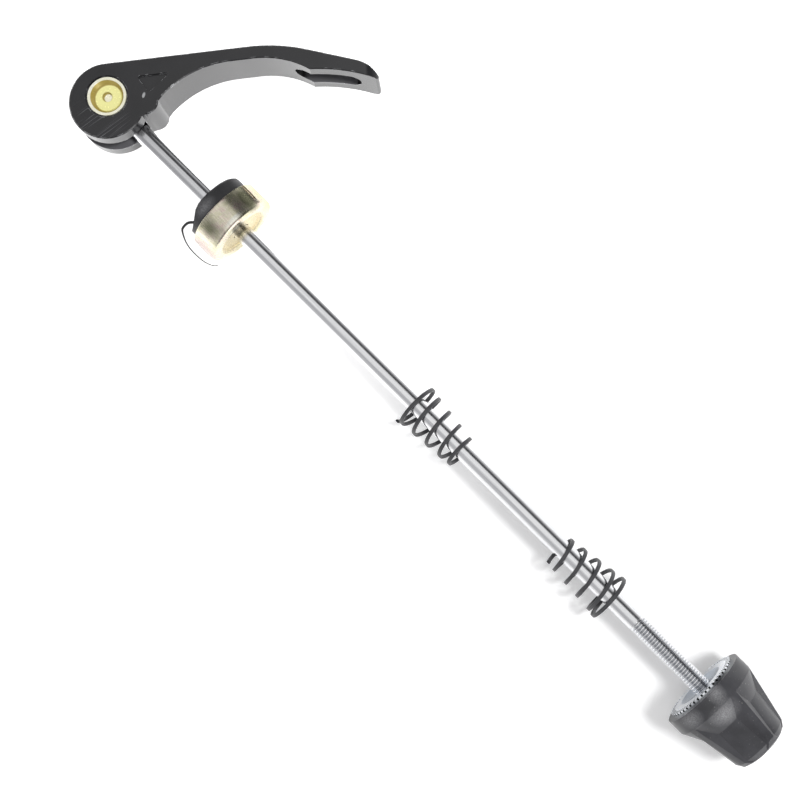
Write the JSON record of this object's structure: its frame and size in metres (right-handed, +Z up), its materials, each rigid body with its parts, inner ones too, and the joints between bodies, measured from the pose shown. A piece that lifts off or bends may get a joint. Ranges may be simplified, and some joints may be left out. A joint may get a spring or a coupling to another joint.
{
  "type": "quick release skewer",
  "caption": "Bicycle quick release skewer: folding cam lever on a long threaded rod, with a saddle in a steel cap, conical springs and a tapered nut with a serrated face.",
  "frame": {"origin": "where the axis of the lever's pivot crosses the axis of the rod", "axes": "+X along the rod from the lever to the nut, +Z up as it lies, +Y to the side the lever's tip is on"},
  "size_m": [0.2465, 0.0664, 0.0238],
  "materials": {
    "lever_black": "satin black coating on forged alloy",
    "yellow_zinc": "yellow chromate over zinc",
    "bright_zinc": "bright zinc plate",
    "saddle_black": "dull moulded plastic",
    "yellow_zinc_cap": "iridescent yellow chromate over zinc",
    "spring_black": "black oxide",
    "nut_black": "semi-gloss moulded plastic",
    "bright_zinc_face": "bright zinc plate"
  },
  "bodies": {
    "skewer": {"skewer_rod": "bright_zinc", "pivot_pin": "yellow_zinc"},
    "lever": {"lever": "lever_black"},
    "cap": {"saddle_cap": "yellow_zinc_cap"},
    "saddle": {"saddle": "saddle_black"},
    "lever_spring": {"spring_lever_side": "spring_black"},
    "nut_spring": {"spring_nut_side": "spring_black"},
    "nut": {"nut_cap": "nut_black", "nut_insert": "bright_zinc_face"}
  },
  "joints": [
    {"name": "lever_pivot", "type": "hinge", "parent": "skewer", "child": "lever", "pos_m": [0, 0, 0], "axis": [0, 0.0624, 0.998], "range_deg": [0, 220]},
    {"name": "cap_slide", "type": "slide", "parent": "skewer", "child": "cap", "axis": [1, 0, 0], "range_m": [-0.026, 0.031]},
    {"name": "saddle_turn", "type": "hinge", "parent": "cap", "child": "saddle", "pos_m": [0.046, 0, 0], "axis": [1, 0, 0], "continuous": true},
    {"name": "lever_spring_slide", "type": "slide", "parent": "skewer", "child": "lever_spring", "axis": [1, 0, 0], "range_m": [-0.0315, 0.016]},
    {"name": "nut_spring_slide", "type": "slide", "parent": "skewer", "child": "nut_spring", "axis": [1, 0, 0], "range_m": [-0.016, 0.029]},
    {"name": "nut_turn", "type": "hinge", "parent": "skewer", "child": "nut", "pos_m": [0.22, 0, 0], "axis": [1, 0, 0], "continuous": true}
  ]
}
